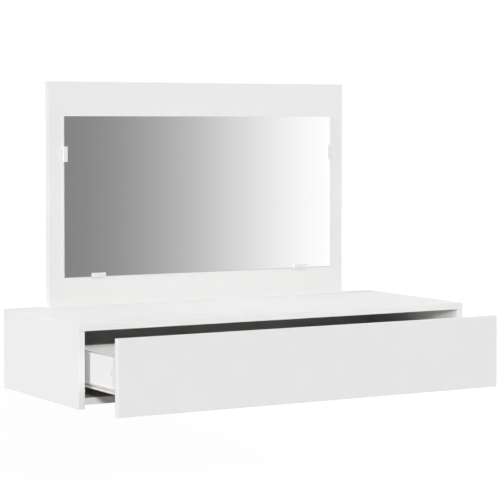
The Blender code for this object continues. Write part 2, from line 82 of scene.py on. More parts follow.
def on_piece(finish, texture, size, stretch=(1, 1, 1)):
    """A texture node that is fixed to the piece, with marks of that size, longer along the stretched axes."""
    tree = finish.node_tree
    place = tree.nodes.new("ShaderNodeTexCoord")
    spread = tree.nodes.new("ShaderNodeMapping")
    spread.inputs["Scale"].default_value = [1 / (size * length) for length in stretch]
    node = tree.nodes.new(texture)
    node.inputs["Scale"].default_value = 1
    tree.links.new(place.outputs["Object"], spread.inputs["Vector"])
    tree.links.new(spread.outputs["Vector"], node.inputs["Vector"])
    return node


def marks(finish, size, stretch=(1, 1, 1), detail=2):
    """Soft, irregular marks."""
    noise = on_piece(finish, "ShaderNodeTexNoise", size, stretch)
    noise.inputs["Detail"].default_value = detail
    return noise.outputs["Fac"]


def tint(finish, shader, source, dark, light):
    """Colours the surface between two tones, following the marks."""
    ramp = finish.node_tree.nodes.new("ShaderNodeValToRGB")
    first, last = ramp.color_ramp.elements
    first.position, last.position = TONE_SPAN
    first.color = (*dark, 1)
    last.color = (*light, 1)
    finish.node_tree.links.new(source, ramp.inputs["Fac"])
    finish.node_tree.links.new(ramp.outputs["Color"], shader.inputs["Base Color"])


def polish(finish, shader, source, smooth, rough):
    """Varies the gloss of the surface, following the marks."""
    spread = finish.node_tree.nodes.new("ShaderNodeMapRange")
    spread.inputs["To Min"].default_value = smooth
    spread.inputs["To Max"].default_value = rough
    finish.node_tree.links.new(source, spread.inputs["Value"])
    finish.node_tree.links.new(spread.outputs["Result"], shader.inputs["Roughness"])


def relief(finish, shader, source, height):
    """Raises the marks on the surface by that height."""
    bump = finish.node_tree.nodes.new("ShaderNodeBump")
    bump.inputs["Distance"].default_value = height
    finish.node_tree.links.new(source, bump.inputs["Height"])
    finish.node_tree.links.new(bump.outputs["Normal"], shader.inputs["Normal"])


melamine, shader = new_finish("white_melamine")
tint(melamine, shader, marks(melamine, 90 * MM), (0.796, 0.796, 0.790), (0.806, 0.806, 0.801))
pearl = marks(melamine, 1.1 * MM)
polish(melamine, shader, pearl, 0.40, 0.52)
relief(melamine, shader, pearl, 0.012 * MM)

edge_band, shader = new_finish("white_edge_band")
tint(edge_band, shader, marks(edge_band, 40 * MM), (0.790, 0.790, 0.783), (0.802, 0.802, 0.797))
polish(edge_band, shader, marks(edge_band, 0.6 * MM), 0.36, 0.48)

glue_line, shader = new_finish("glue_line")
tint(glue_line, shader, marks(glue_line, 2 * MM), (0.60, 0.59, 0.56), (0.70, 0.69, 0.66))
polish(glue_line, shader, marks(glue_line, 2 * MM), 0.5, 0.7)

chipboard, shader = new_finish("raw_chipboard")
chips = on_piece(chipboard, "ShaderNodeTexVoronoi", 1.6 * MM)
tint(chipboard, shader, chips.outputs["Color"], (0.36, 0.25, 0.15), (0.66, 0.53, 0.36))
polish(chipboard, shader, marks(chipboard, 1 * MM), 0.75, 0.95)
relief(chipboard, shader, chips.outputs["Distance"], 0.15 * MM)


def only(piece):
    """Selects one piece and nothing else."""
    bpy.ops.object.select_all(action="DESELECT")
    bpy.context.view_layer.objects.active = piece
    piece.select_set(True)


def saw(name, low, high):
    """A rectangular blank between two corners."""
    low = Vector(low)
    high = Vector(high)
    bpy.ops.object.select_all(action="DESELECT")
    bpy.ops.mesh.primitive_cube_add(size=1, location=(low + high) / 2, scale=high - low)
    bpy.ops.object.transform_apply(location=True, rotation=True, scale=True)
    blank = bpy.context.object
    blank.name = name
    return blank


def open_up(piece, part):
    """Opens a piece for editing by its faces or edges, with none selected."""
    only(piece)
    bpy.ops.object.mode_set(mode="EDIT")
    bpy.ops.mesh.select_mode(type=part)
    bpy.ops.mesh.select_all(action="DESELECT")


def close():
    """Ends the editing of a piece."""
    bpy.ops.object.mode_set(mode="OBJECT")


def pick_faces(piece, test):
    """Selects the faces of an open piece whose middle and normal pass a test."""
    shape = bmesh.from_edit_mesh(piece.data)
    for face in shape.faces:
        face.select_set(test(face.calc_center_median(), face.normal))
    bmesh.update_edit_mesh(piece.data)


def pick_edges(piece, test):
    """Selects the edges of an open piece whose two ends pass a test."""
    shape = bmesh.from_edit_mesh(piece.data)
    for edge in shape.edges:
        edge.select_set(test(edge.verts[0].co, edge.verts[1].co))
    bmesh.update_edit_mesh(piece.data)


def score(axis, place):
    """Cuts a line round the whole open piece, across an axis."""
    point = Vector((0, 0, 0))
    normal = Vector((0, 0, 0))
    point[axis] = place
    normal[axis] = 1
    bpy.ops.mesh.select_all(action="SELECT")
    bpy.ops.mesh.bisect(plane_co=point, plane_no=normal)


def coat(piece, finish):
    """Gives the selected faces of an open piece a finish."""
    if finish.name not in piece.data.materials:
        piece.data.materials.append(finish)
    piece.active_material_index = piece.data.materials.find(finish.name)
    bpy.ops.object.material_slot_assign()


def make_board(name, low, high, facing, banded, raw=(), crisp=()):
    """A board with banded and raw edges. Its corners are eased, except round raw ends and where crisp."""
    board = saw(name, low, high)
    board.data.materials.append(facing)

    def depth(point, face):
        axis, way = face
        return way * ((high if way > 0 else low)[axis] - point[axis])

    open_up(board, "FACE")
    for axis, way in banded:
        edge = (high if way > 0 else low)[axis]
        score(axis, edge - way * BAND)
        score(axis, edge - way * (BAND + GLUE))
    pick_faces(board, lambda middle, normal: any(depth(middle, face) < BAND + GLUE for face in banded))
    coat(board, glue_line)
    pick_faces(board, lambda middle, normal: any(depth(middle, face) < BAND for face in banded))
    coat(board, edge_band)
    if raw:
        pick_faces(board, lambda middle, normal: any(depth(middle, face) < TOUCH for face in raw))
        coat(board, chipboard)
    close()
    kept = [{face} for face in raw] + [set(pair) for pair in crisp]

    def outer(first, second):
        touched = set()
        for face in (LEFT, RIGHT, FRONT, REAR, DOWN, UP):
            if depth(first, face) < TOUCH and depth(second, face) < TOUCH:
                touched.add(face)
        return len(touched) == 2 and not any(group <= touched for group in kept)

    open_up(board, "EDGE")
    pick_edges(board, outer)
    bpy.ops.mesh.bevel(offset=EASE, segments=3, affect="EDGES")
    close()
    return board


def cut(piece, cutter, lining):
    """Takes the cutter's shape out of a piece and lines the cut."""
    cutter.data.materials.append(lining)
    if lining.name not in piece.data.materials:
        piece.data.materials.append(lining)
    taken = piece.modifiers.new("cut", "BOOLEAN")
    taken.operation = "DIFFERENCE"
    taken.solver = "EXACT"
    taken.material_mode = "TRANSFER"
    taken.object = cutter
    only(piece)
    bpy.ops.object.modifier_apply(modifier=taken.name)
    bpy.data.objects.remove(cutter)


def drill(piece, place, axis, radius, length, lining=chipboard):
    """Drills a round hole along an axis, half of its length on either side of a place."""
    bpy.ops.object.select_all(action="DESELECT")
    bpy.ops.mesh.primitive_cylinder_add(vertices=HOLE_SIDES, radius=radius, depth=length, location=place,
                                        rotation=ALONG[axis])
    cut(piece, bpy.context.object, lining)


def bore(piece, node, axis, radius, lining=chipboard):
    """Bores the hole in which a fitting sits."""
    low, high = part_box(node)
    drill(piece, (low + high) / 2, axis, radius, (high - low)[axis] + HOLE_ROOM, lining)


def smooth(piece, angle=40):
    """Shades the rounded edges smooth and keeps the flat faces flat."""
    only(piece)
    bpy.ops.object.shade_smooth_by_angle(angle=math.radians(angle))
    even = piece.modifiers.new("even", "WEIGHTED_NORMAL")
    even.keep_sharp = True
    bpy.ops.object.modifier_apply(modifier=even.name)


def seat(piece, body, node):
    """Puts a finished piece in the place of its solid."""
    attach(piece, body)
    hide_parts(node)


for hand in HANDS:
    low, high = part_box(f"{hand}_side_panel")
    high.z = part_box("top_panel")[0].z
    board = make_board(f"{hand}_side_board", low, high, melamine, (FRONT, REAR, DOWN), raw=(UP,))
    bore(board, f"{hand}_side_dowel", Z, DOWEL_HOLE)
    bore(board, f"{hand}_side_cam_bolt", Z, BOLT_HOLE)
    bore(board, f"{hand}_side_cam", X, CAM_HOLE)
    for dowel in LEVEL_DOWELS:
        bore(board, f"{hand}_{dowel}", X, DOWEL_HOLE)
    for end in ENDS:
        bore(board, f"cabinet_rail_{hand}_screw_{end}", X, SCREW_HOLE)
    smooth(board)
    seat(board, "cabinet", f"{hand}_side_panel")


# Bottom panel: white board between the sides, set back from the front so that fingers reach under the
# drawer front. It sits on two dowels at each end, and only its front edge is banded.
low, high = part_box("bottom_panel")
low.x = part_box("left_side_panel")[1].x
high.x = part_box("right_side_panel")[0].x
high.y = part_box("back_panel")[0].y
board = make_board("bottom_board", low, high, melamine, (FRONT,), raw=(LEFT, RIGHT, REAR))
for hand in HANDS:
    for end in ENDS:
        bore(board, f"{hand}_bottom_dowel_{end}", X, DOWEL_HOLE)
smooth(board)
seat(board, "cabinet", "bottom_panel")


# Back panel: white board between the sides at the wall, held by a dowel at each end. The table hangs on
# the screws that pass through its four holes.
WALL_HOLE = 2.5 * MM
WALL_HOLE_LENGTH = 45 * MM
WALL_HOLES_OUT = 410 * MM
WALL_HOLES_HIGH = (-50 * MM, 35 * MM)
low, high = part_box("back_panel")
low.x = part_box("left_side_panel")[1].x
high.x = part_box("right_side_panel")[0].x
high.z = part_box("top_panel")[0].z
board = make_board("back_board", low, high, melamine, (DOWN,), raw=(LEFT, RIGHT, UP))
for hand, way in HANDS.items():
    bore(board, f"{hand}_back_dowel", X, DOWEL_HOLE)
    for height in WALL_HOLES_HIGH:
        drill(board, (way * WALL_HOLES_OUT, low.y, height), Y, WALL_HOLE, WALL_HOLE_LENGTH)
smooth(board)
seat(board, "cabinet", "back_panel")


# Top panel: one white board across the whole table, banded all round. It lies on the sides, located by
# dowels and pulled down by the cam bolts; two screws come up through it into the mirror panel.
THREAD_HOLE = 2.3 * MM
low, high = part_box("top_panel")
sides = (LEFT, RIGHT, FRONT, REAR)
board = make_board("top_board", low, high, melamine, sides, crisp=((DOWN, LEFT), (DOWN, RIGHT)))
for hand in HANDS:
    bore(board, f"{hand}_side_dowel", Z, DOWEL_HOLE)
    bore(board, f"{hand}_side_cam_bolt", Z, THREAD_HOLE)
    bore(board, f"{hand}_panel_screw", Z, SCREW_HOLE)
smooth(board)
seat(board, "cabinet", "top_panel")


# Wood dowels: fluted beech pins with chamfered ends. They are glued into the joints between the sides
# and the top, bottom and back panels, and the flutes let the glue rise.
DOWEL_RADIUS = 4 * MM
DOWEL_LENGTH = 30 * MM
DOWEL_CHAMFER = 1 * MM
FLUTES = 24
FLUTE_RIB = 0.12 * MM
FLUTE_DEPTH = 0.3 * MM
beech, shader = new_finish("beech")
tint(beech, shader, marks(beech, 1.2 * MM, stretch=(9, 1, 1)), (0.50, 0.33, 0.19), (0.72, 0.54, 0.36))
polish(beech, shader, marks(beech, 1 * MM), 0.6, 0.8)
relief(beech, shader, marks(beech, 0.5 * MM, stretch=(12, 1, 1)), 0.05 * MM)


def standing(node, towards, facing=None):
    """How a fitting that stands on the bench along Z, facing X, goes into the place of its solid."""
    low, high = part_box(node)
    towards = Vector(towards)
    start = (low + high) / 2 - towards * abs((high - low).dot(towards)) / 2
    if facing:
        facing = Vector(facing)
        turned = Matrix((facing, towards.cross(facing), towards)).transposed()
    else:
        turned = towards.to_track_quat("Z", "Y").to_matrix()
    return Matrix.Translation(start) @ turned.to_4x4()


def fit(master, word, node, towards, body, facing=None):
    """Puts a copy of a fitting that was made on the bench in the place of its solid."""
    piece = master.copy()
    piece.data = master.data.copy()
    piece.name = f"{node}_{word}"
    bpy.context.collection.objects.link(piece)
    piece.matrix_world = standing(node, towards, facing)
    only(piece)
    bpy.ops.object.transform_apply(location=True, rotation=True, scale=True)
    seat(piece, body, node)


middle = (0, 0, DOWEL_LENGTH / 2)
bpy.ops.object.select_all(action="DESELECT")
bpy.ops.mesh.primitive_cylinder_add(vertices=FLUTES, radius=DOWEL_RADIUS, depth=DOWEL_LENGTH, location=middle)
bpy.ops.object.transform_apply(location=True, rotation=True, scale=True)
dowel = bpy.context.object
dowel.data.materials.append(beech)
open_up(dowel, "EDGE")
pick_edges(dowel, lambda first, second: abs(first.z - second.z) < TOUCH)
bpy.ops.mesh.bevel(offset=DOWEL_CHAMFER, segments=1, affect="EDGES")
close()
open_up(dowel, "FACE")


def every_other_flute(middle, normal):
    step = math.atan2(normal.y, normal.x) / math.tau * FLUTES
    return abs(normal.z) < 0.1 and math.floor(step) % 2 == 0


pick_faces(dowel, every_other_flute)
bpy.ops.mesh.inset(thickness=FLUTE_RIB, depth=-FLUTE_DEPTH, use_individual=True)
close()
smooth(dowel, angle=30)
for hand, way in HANDS.items():
    fit(dowel, "fluted", f"{hand}_side_dowel", (0, 0, 1), "cabinet")
    for joint in LEVEL_DOWELS:
        fit(dowel, "fluted", f"{hand}_{joint}", (way, 0, 0), "cabinet")
bpy.data.objects.remove(dowel)


# Cam locks of the cabinet: bright die-cast drums, let into the inner faces of the sides and turned with
# a screwdriver. Each grips the ball end of a steel bolt that is screwed into the top panel.
DRUM_SIDES = 48
DRUM_ROUND = 0.4 * MM
MOUTH_ROOM = 0.25 * MM
CROSS_WIDTH = 1.6 * MM
CROSS_DEPTH = 1.2 * MM
CROSS_REACH = 0.6
ARROW_OUT = 0.78
ARROW_RADIUS = 1.3 * MM
ARROW_DEPTH = 0.4 * MM
BOLT_BALL = ((0, 0), (1.6, 0), (2.5, 0.5), (2.8, 1.3), (2.7, 2.2), (1.8, 3.0), (1.8, 7.5), (2.2, 8.2))
BOLT_TIP = ((2.2, 11), (1.6, 10.5), (1.5, 1.2), (0, 0))
BOLT_CORE = 1.4 * MM
BOLT_CREST = 2.2 * MM
BOLT_PITCH = 1.8 * MM
THREAD_TO_TIP = 10.2 * MM
BARE_TIP = 1.2 * MM
THREAD_FLANK = 0.3
THREAD_STEPS = 16
WELD = 0.002 * MM
die_cast, shader = new_finish("bright_die_casting", metallic=0.7)
tint(die_cast, shader, marks(die_cast, 3 * MM), (0.74, 0.74, 0.73), (0.82, 0.82, 0.81))
polish(die_cast, shader, marks(die_cast, 0.7 * MM), 0.42, 0.58)
relief(die_cast, shader, marks(die_cast, 0.5 * MM), 0.02 * MM)

zinc, shader = new_finish("zinc_plated_steel", metallic=1.0)
tint(zinc, shader, marks(zinc, 4 * MM), (0.60, 0.61, 0.61), (0.72, 0.72, 0.70))
polish(zinc, shader, marks(zinc, 0.8 * MM), 0.25, 0.42)


def mill(piece, low, high, lining):
    """Takes a rectangular block out of a piece."""
    cut(piece, saw("cutter", low, high), lining)


def cast_cam(node, bolt, towards, facing):
    """A cam drum on the bench: its mouth opens up Z to the bolt, and its slotted face looks along X."""
    low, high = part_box(node)
    radius = (high.z - low.z) / 2
    depth = high.x - low.x
    bpy.ops.object.select_all(action="DESELECT")
    bpy.ops.mesh.primitive_cylinder_add(vertices=DRUM_SIDES, radius=radius, depth=depth, rotation=ALONG[X])
    drum = bpy.context.object
    drum.location = (0, 0, radius)
    bpy.ops.object.transform_apply(location=True, rotation=True, scale=True)
    drum.data.materials.append(die_cast)
    open_up(drum, "EDGE")
    pick_edges(drum, lambda first, second: abs(first.x - second.x) < TOUCH)
    bpy.ops.mesh.bevel(offset=DRUM_ROUND, segments=3, affect="EDGES")
    close()
    to_bench = standing(node, towards, facing).inverted()
    ends = [to_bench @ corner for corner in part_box(bolt)]
    mouth_low = Vector([min(pair) - MOUTH_ROOM for pair in zip(*ends)])
    mouth_high = Vector([max(pair) + MOUTH_ROOM for pair in zip(*ends)])
    mill(drum, mouth_low, mouth_high, die_cast)
    spot = Vector((depth / 2, 0, radius))
    for axis in (Z, Y):
        half = Vector((CROSS_DEPTH, CROSS_WIDTH / 2, CROSS_WIDTH / 2))
        half[axis] = radius * CROSS_REACH
        mill(drum, spot - half, spot + half, die_cast)
    spot.z += radius * ARROW_OUT
    bpy.ops.object.select_all(action="DESELECT")
    bpy.ops.mesh.primitive_cylinder_add(vertices=3, radius=ARROW_RADIUS, depth=2 * ARROW_DEPTH, location=spot,
                                        rotation=ALONG[X])
    cut(drum, bpy.context.object, die_cast)
    smooth(drum, angle=35)
    return drum


def pull(x=0, z=0):
    """Pulls the selected corners or faces of an open piece out, across and up."""
    bpy.ops.mesh.extrude_region_move(TRANSFORM_OT_translate={"value": (x, 0, z)})


def draw(name, outline):
    """A line through points of radius and height, drawn by pulling one corner along."""
    bpy.ops.object.select_all(action="DESELECT")
    bpy.ops.mesh.primitive_plane_add(size=1 * MM, location=(0, 0, 0))
    line = bpy.context.object
    line.name = name
    bpy.ops.object.mode_set(mode="EDIT")
    bpy.ops.mesh.select_mode(type="VERT")
    bpy.ops.mesh.select_all(action="SELECT")
    bpy.ops.mesh.merge(type="CENTER")
    bpy.ops.transform.translate(value=(outline[0][0], 0, outline[0][1]))
    for (radius, height), (next_radius, next_height) in zip(outline, outline[1:]):
        pull(x=next_radius - radius, z=next_height - height)
    bpy.ops.mesh.select_all(action="SELECT")
    return line


def turn(name, outline, finish, steps=40):
    """A piece turned about Z."""
    piece = draw(name, outline)
    bpy.ops.mesh.spin(steps=steps, angle=math.tau, center=(0, 0, 0), axis=(0, 0, 1))
    bpy.ops.mesh.select_all(action="SELECT")
    bpy.ops.mesh.remove_doubles(threshold=WELD)
    bpy.ops.mesh.normals_make_consistent(inside=False)
    close()
    piece.data.materials.append(finish)
    return piece


def wind_thread(core, crest, pitch, start, end, finish):
    """A screw thread wound round Z from one height to another."""
    lower = (core, start)
    peak = (crest, start + pitch * THREAD_FLANK)
    upper = (core, start + 2 * pitch * THREAD_FLANK)
    thread = draw("thread", [lower, peak, upper, lower])
    bpy.ops.mesh.remove_doubles(threshold=WELD)
    close()
    wound = thread.modifiers.new("wound", "SCREW")
    wound.screw_offset = pitch
    wound.iterations = int((end - start) / pitch)
    wound.steps = THREAD_STEPS
    wound.render_steps = THREAD_STEPS
    only(thread)
    bpy.ops.object.modifier_apply(modifier=wound.name)
    open_up(thread, "FACE")
    bpy.ops.mesh.select_all(action="SELECT")
    bpy.ops.mesh.fill_holes(sides=3)
    bpy.ops.mesh.select_all(action="SELECT")
    bpy.ops.mesh.normals_make_consistent(inside=False)
    close()
    thread.data.materials.append(finish)
    return thread


def join(piece, other):
    """Makes two pieces one."""
    only(piece)
    other.select_set(True)
    bpy.ops.object.join()


def profile(length, start, end):
    """An outline for turning: points in mm from the start, then points measured back from the end."""
    outline = [(radius * MM, height * MM) for radius, height in start]
    return outline + [(radius * MM, length - back * MM) for radius, back in end]


def make_bolt(length):
    """A cam bolt: ball end, neck, shank and a coarse wood thread."""
    bolt = turn("bolt", profile(length, BOLT_BALL, BOLT_TIP), zinc)
    start = length - THREAD_TO_TIP
    join(bolt, wind_thread(BOLT_CORE, BOLT_CREST, BOLT_PITCH, start, length - BARE_TIP, zinc))
    smooth(bolt, angle=35)
    return bolt


low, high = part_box("left_side_cam_bolt")
bolt = make_bolt(high.z - low.z)
drum = cast_cam("left_side_cam", "left_side_cam_bolt", (0, 0, 1), (1, 0, 0))
for hand, way in HANDS.items():
    node = f"{hand}_side_cam"
    fit(drum, "drum", node, (0, 0, 1), "cabinet", (-way, 0, 0))
    fit(bolt, "turned", f"{node}_bolt", (0, 0, 1), "cabinet")
bpy.data.objects.remove(drum)


# Mirror panel: a white board that stands on the table top a little in front of the wall. Its foot is
# raw where it meets the top, and the other edges are banded.
low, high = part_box("mirror_panel")
low.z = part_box("top_panel")[1].z
board = make_board("mirror_board", low, high, melamine, (LEFT, RIGHT, UP), raw=(DOWN,))
for hand in HANDS:
    bore(board, f"{hand}_panel_screw", Z, SCREW_HOLE)
    bore(board, f"bottom_clip_{hand}_screw", Y, SCREW_HOLE)
    bore(board, f"side_clip_{hand}_screw", Y, SCREW_HOLE)
smooth(board)
seat(board, "cabinet", "mirror_panel")


# Mirror glass: 4 mm float glass, silvered behind, with a narrow ground bevel round the face. It rests
# on the two bottom clips; its rim shows the green of the glass and its back is painted grey.
BEVEL = 0.5 * MM
REAR_ARRIS = 0.3 * MM
silver, shader = new_finish("mirror_silver", metallic=1.0)
tint(silver, shader, marks(silver, 200 * MM), (0.985, 0.987, 0.985), (0.992, 0.993, 0.992))
polish(silver, shader, marks(silver, 120 * MM), 0.002, 0.008)
glass_rim, shader = new_finish("ground_glass_rim")
tint(glass_rim, shader, marks(glass_rim, 30 * MM), (0.54, 0.573, 0.56), (0.58, 0.608, 0.597))
polish(glass_rim, shader, marks(glass_rim, 4 * MM), 0.35, 0.45)
shader.inputs["Specular IOR Level"].default_value = 0.3
backing, shader = new_finish("mirror_backing_paint")
tint(backing, shader, marks(backing, 6 * MM), (0.24, 0.24, 0.25), (0.32, 0.32, 0.33))
polish(backing, shader, marks(backing, 2 * MM), 0.45, 0.65)
low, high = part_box("mirror_glass")
pane = saw("mirror_pane", low, high)
pane.data.materials.append(silver)
open_up(pane, "FACE")
pick_faces(pane, lambda middle, normal: abs(normal.y) < 0.5)
coat(pane, glass_rim)
pick_faces(pane, lambda middle, normal: normal.y > 0.5)
coat(pane, backing)
close()
open_up(pane, "EDGE")
pick_edges(pane, lambda first, second: max(first.y, second.y) < low.y + TOUCH)
rim_slot = pane.data.materials.find(glass_rim.name)
bpy.ops.mesh.bevel(offset=BEVEL, segments=1, affect="EDGES", material=rim_slot)
close()
open_up(pane, "EDGE")
pick_edges(pane, lambda first, second: min(first.y, second.y) > high.y - TOUCH)
bpy.ops.mesh.bevel(offset=REAR_ARRIS, segments=2, affect="EDGES")
close()
smooth(pane, angle=25)
seat(pane, "cabinet", "mirror_glass")


# Glass clips: white moulded clips, two under the lower edge of the glass and one at each side edge. A
# thin plate is screwed to the mirror panel with a white lacquered screw; from it a wall rises at the
# edge of the glass and ends in a lip that laps over the face.
CLIP_PLATE = 1.5 * MM
CLIP_WALL = 1.4 * MM
CLIP_ROUND = 0.6 * MM
CLIP_ROOM = 0.1 * MM
SINK_SIDES = 40
FLUSH_HEAD = 2.6 * MM
FLUSH_RIM = 0.15 * MM
RECESS_REACH = 1.6 * MM
RECESS_WIDTH = 0.9 * MM
RECESS_DEPTH = 0.9 * MM
SHANK = 1.3 * MM
SCREW_CORE = 1.1 * MM
SCREW_CREST = 1.6 * MM
SCREW_PITCH = 1.4 * MM
BARE_NECK = 1.2 * MM
BARE_POINT = 2.6 * MM
POINT_RADIUS = 1.2 * MM
POINT_LENGTH = 3 * MM
moulding, shader = new_finish("white_clip_plastic")
tint(moulding, shader, marks(moulding, 12 * MM), (0.748, 0.748, 0.742), (0.768, 0.768, 0.762))
polish(moulding, shader, marks(moulding, 0.8 * MM), 0.58, 0.70)
relief(moulding, shader, marks(moulding, 0.6 * MM), 0.01 * MM)
shader.inputs["Specular IOR Level"].default_value = 0.35
lacquer, shader = new_finish("white_lacquered_screw")
tint(lacquer, shader, marks(lacquer, 3 * MM), (0.753, 0.753, 0.748), (0.775, 0.775, 0.770))
polish(lacquer, shader, marks(lacquer, 0.6 * MM), 0.32, 0.45)


def mould_clip(node, towards, facing):
    """A clip on the bench: its lip points up Z over the glass, and its front looks along X."""
    low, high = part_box(node)
    to_bench = standing(node, towards, facing).inverted()
    glass_corner = to_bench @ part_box("mirror_glass")[0]
    under_lip = glass_corner.x
    foot = glass_corner.z - CLIP_ROOM
    back = (to_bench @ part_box("mirror_panel")[0]).x
    front = (high.y - low.y) / 2
    half_width = (high.x - low.x) / 2
    clip = saw("clip", (back, -half_width, 0), (back + CLIP_PLATE, half_width, foot))
    clip.data.materials.append(moulding)
    open_up(clip, "FACE")
    score(Z, foot - CLIP_WALL)
    pick_faces(clip, lambda middle, normal: normal.x > 0.5 and middle.z > foot - CLIP_WALL)
    pull(x=under_lip - back - CLIP_PLATE)
    pull(x=front - under_lip)
    pick_faces(clip, lambda middle, normal: normal.z > 0.5 and middle.x > under_lip)
    lip = high.z - low.z - foot
    pull(z=lip)
    close()
    open_up(clip, "EDGE")
    pick_edges(clip, lambda first, second: min(first.x, second.x) > under_lip + TOUCH)
    bpy.ops.mesh.bevel(offset=CLIP_ROUND, segments=4, affect="EDGES")
    close()
    screw_low, screw_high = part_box(f"{node}_screw")
    hole = to_bench @ ((screw_low + screw_high) / 2)
    hole.x = back + CLIP_PLATE / 2
    bpy.ops.object.select_all(action="DESELECT")
    bpy.ops.mesh.primitive_cone_add(vertices=SINK_SIDES, radius1=SCREW_HOLE, radius2=FLUSH_HEAD + CLIP_ROOM,
                                    depth=CLIP_PLATE + 2 * TOUCH, location=hole, rotation=ALONG[X])
    cut(clip, bpy.context.object, moulding)
    smooth(clip, angle=50)
    return clip


def make_screw(head, tip, finish):
    """A wood screw with a cross recess: a head of that outline, and a thread that ends at the tip."""
    crown = head[0][1]
    shoulder = head[-1][1]
    screw = turn("screw", head + [(POINT_RADIUS, tip - POINT_LENGTH), (0, tip)], finish)
    for half_x, half_y in ((RECESS_REACH, RECESS_WIDTH / 2), (RECESS_WIDTH / 2, RECESS_REACH)):
        mill(screw, (-half_x, -half_y, crown - RECESS_DEPTH), (half_x, half_y, crown + RECESS_DEPTH), finish)
    start = shoulder + BARE_NECK
    join(screw, wind_thread(SCREW_CORE, SCREW_CREST, SCREW_PITCH, start, tip - BARE_POINT, finish))
    smooth(screw, angle=35)
    return screw


low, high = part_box("bottom_clip_left_screw")
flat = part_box("mirror_panel")[0].y - CLIP_PLATE - low.y
rim = flat + FLUSH_RIM
flush_head = [(0, flat), (FLUSH_HEAD, flat), (FLUSH_HEAD, rim), (SHANK, flat + CLIP_PLATE)]
clip_screw = make_screw(flush_head, high.y - low.y, lacquer)
clip = mould_clip("bottom_clip_left", (0, 0, 1), (0, -1, 0))
for hand, way in HANDS.items():
    fit(clip, "moulding", f"bottom_clip_{hand}", (0, 0, 1), "cabinet", (0, -1, 0))
    fit(clip, "moulding", f"side_clip_{hand}", (-way, 0, 0), "cabinet", (0, -1, 0))
    fit(clip_screw, "turned", f"bottom_clip_{hand}_screw", (0, 1, 0), "cabinet")
    fit(clip_screw, "turned", f"side_clip_{hand}_screw", (0, 1, 0), "cabinet")
bpy.data.objects.remove(clip)
bpy.data.objects.remove(clip_screw)


# Panel screws: two long zinc-plated pan-head screws, driven up through the table top into the foot of
# the mirror panel. Their heads lie against the underside of the top, out of sight above the drawer.
PAN_HEAD = 3.2 * MM
PAN_CROWN = 0.9 * MM
PAN_HEIGHT = 1.4 * MM
PAN_STEPS = 6
low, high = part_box("left_panel_screw")
pan_head = []
for step in range(PAN_STEPS + 1):
    angle = math.radians(90 * step / PAN_STEPS)
    pan_head.append((PAN_HEAD * math.sin(angle), PAN_CROWN * (1 - math.cos(angle))))
pan_head += [(PAN_HEAD, PAN_HEIGHT), (SHANK, PAN_HEIGHT)]
panel_screw = make_screw(pan_head, high.z - low.z, zinc)
for hand in HANDS:
    fit(panel_screw, "turned", f"{hand}_panel_screw", (0, 0, 1), "cabinet")
bpy.data.objects.remove(panel_screw)


